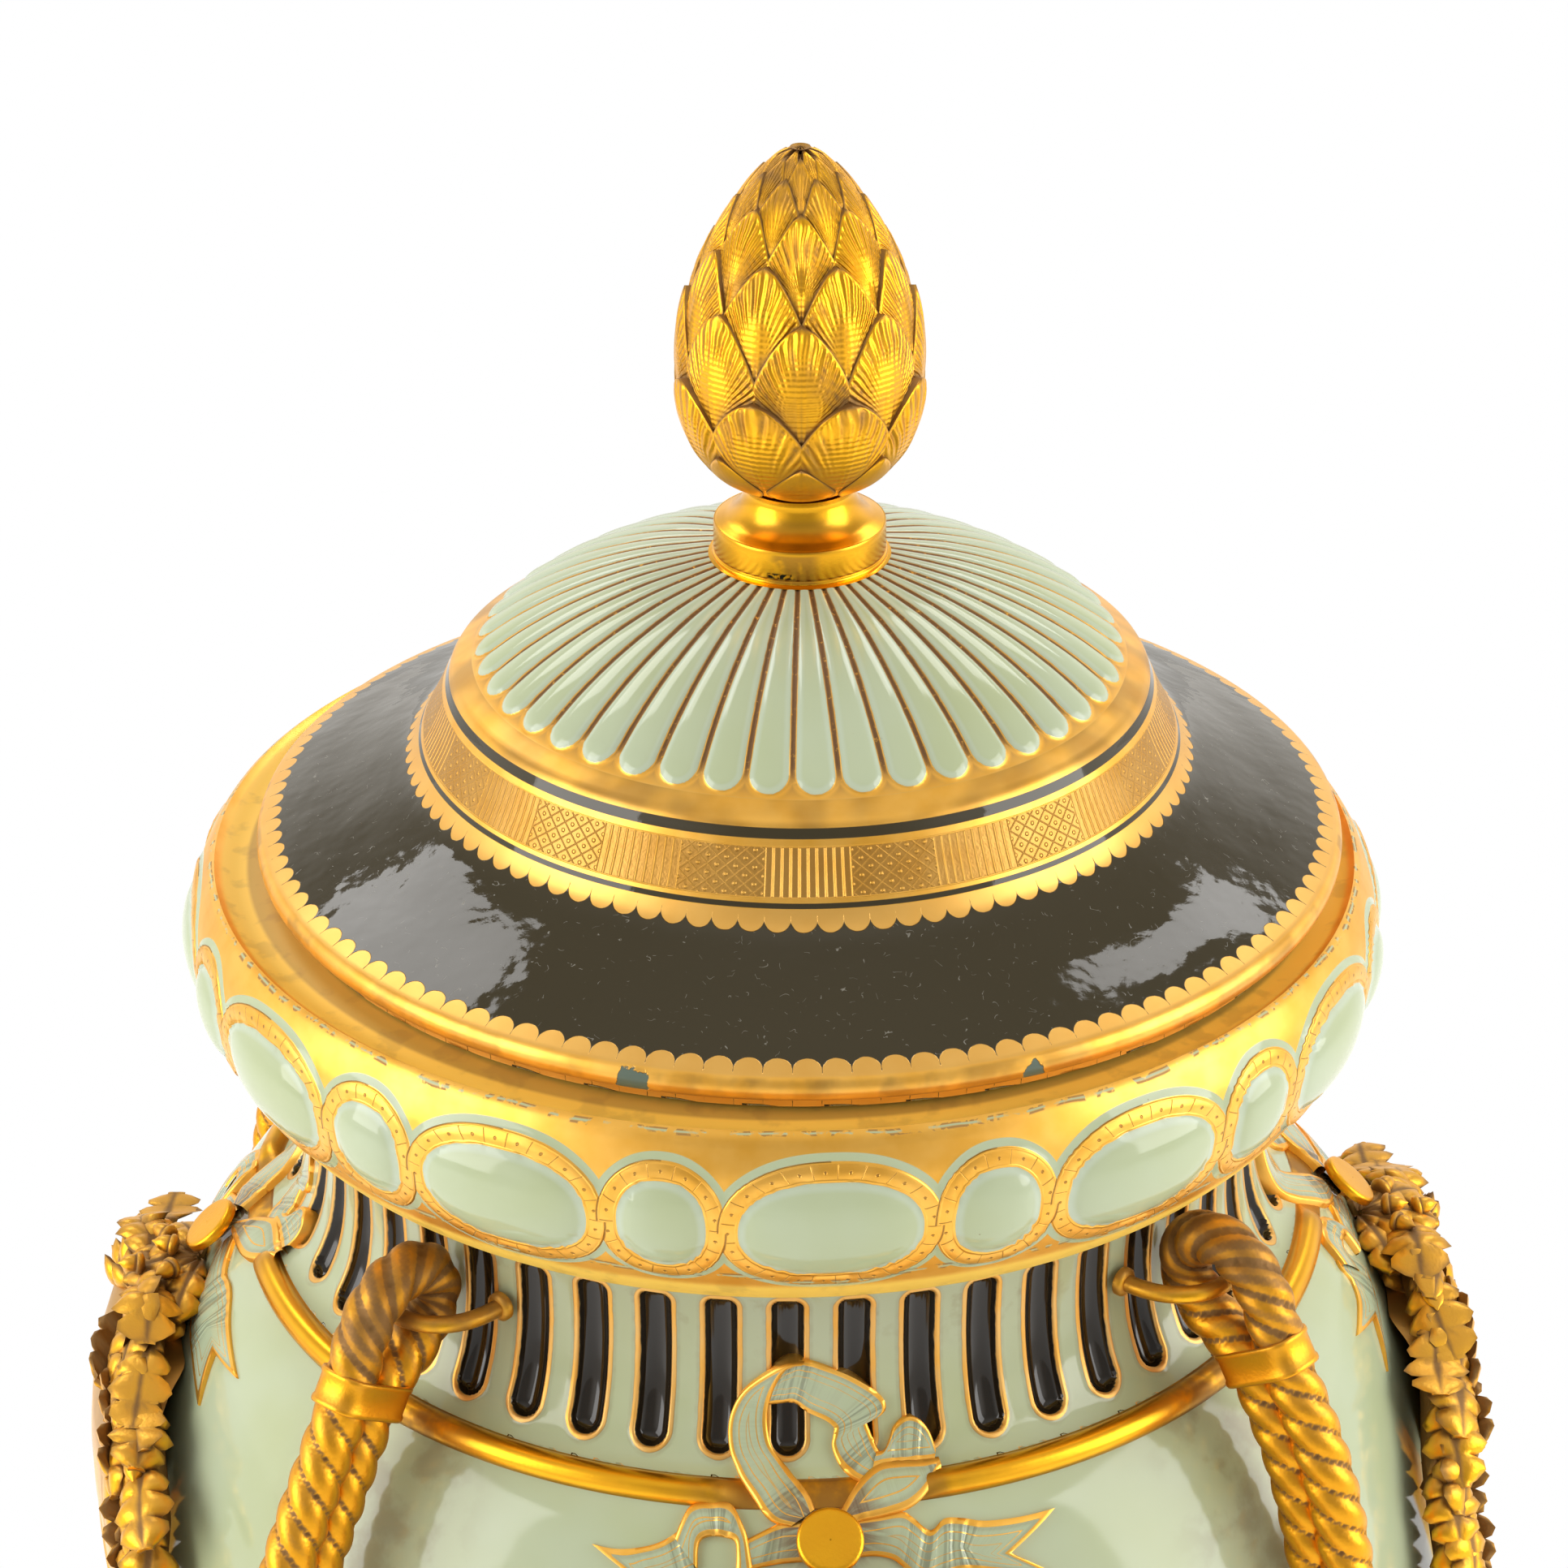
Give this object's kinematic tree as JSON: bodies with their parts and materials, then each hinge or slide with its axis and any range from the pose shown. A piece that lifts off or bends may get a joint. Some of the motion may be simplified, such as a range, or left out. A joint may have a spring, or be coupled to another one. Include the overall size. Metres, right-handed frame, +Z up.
{
  "type": "covered mantel urn",
  "caption": "Covered urn on a waisted foot and square plinth, with a fluted neck, cabochon collar, domed lid, pine cone finial, rope swags and oak wreaths.",
  "frame": {"origin": "under the centre of the plinth, on the surface the urn stands on", "axes": "+Z up; -Y faces the front bow and tablet; +X to the right seen from the front"},
  "size_m": [0.2716, 0.2716, 0.5598],
  "materials": {
    "celadon_porcelain": "high gloss celadon glaze on porcelain",
    "dark_glaze": "high gloss olive-black glaze on porcelain",
    "burnished_gilding": "burnished gold with satin areas and brown shading in the hollows",
    "matt_gilt_bronze": "matt mercury gilding, darker in the hollows"
  },
  "bodies": {
    "root": {"urn_body": "celadon_porcelain", "lid": "dark_glaze", "pine_cone_finial": "burnished_gilding", "rope_front_right": "matt_gilt_bronze", "rope_back_right": "matt_gilt_bronze", "rope_back_left": "matt_gilt_bronze", "rope_front_left": "matt_gilt_bronze", "upper_staple_front_right": "burnished_gilding", "upper_staple_back_right": "burnished_gilding", "upper_staple_back_left": "burnished_gilding", "upper_staple_front_left": "burnished_gilding", "lower_staple_front_right": "burnished_gilding", "lower_staple_back_right": "burnished_gilding", "lower_staple_back_left": "burnished_gilding", "lower_staple_front_left": "burnished_gilding", "oak_garland_front": "matt_gilt_bronze", "oak_garland_right": "matt_gilt_bronze", "oak_garland_back": "matt_gilt_bronze", "oak_garland_left": "matt_gilt_bronze", "socle": "celadon_porcelain", "plinth": "burnished_gilding"}
  },
  "joints": []
}
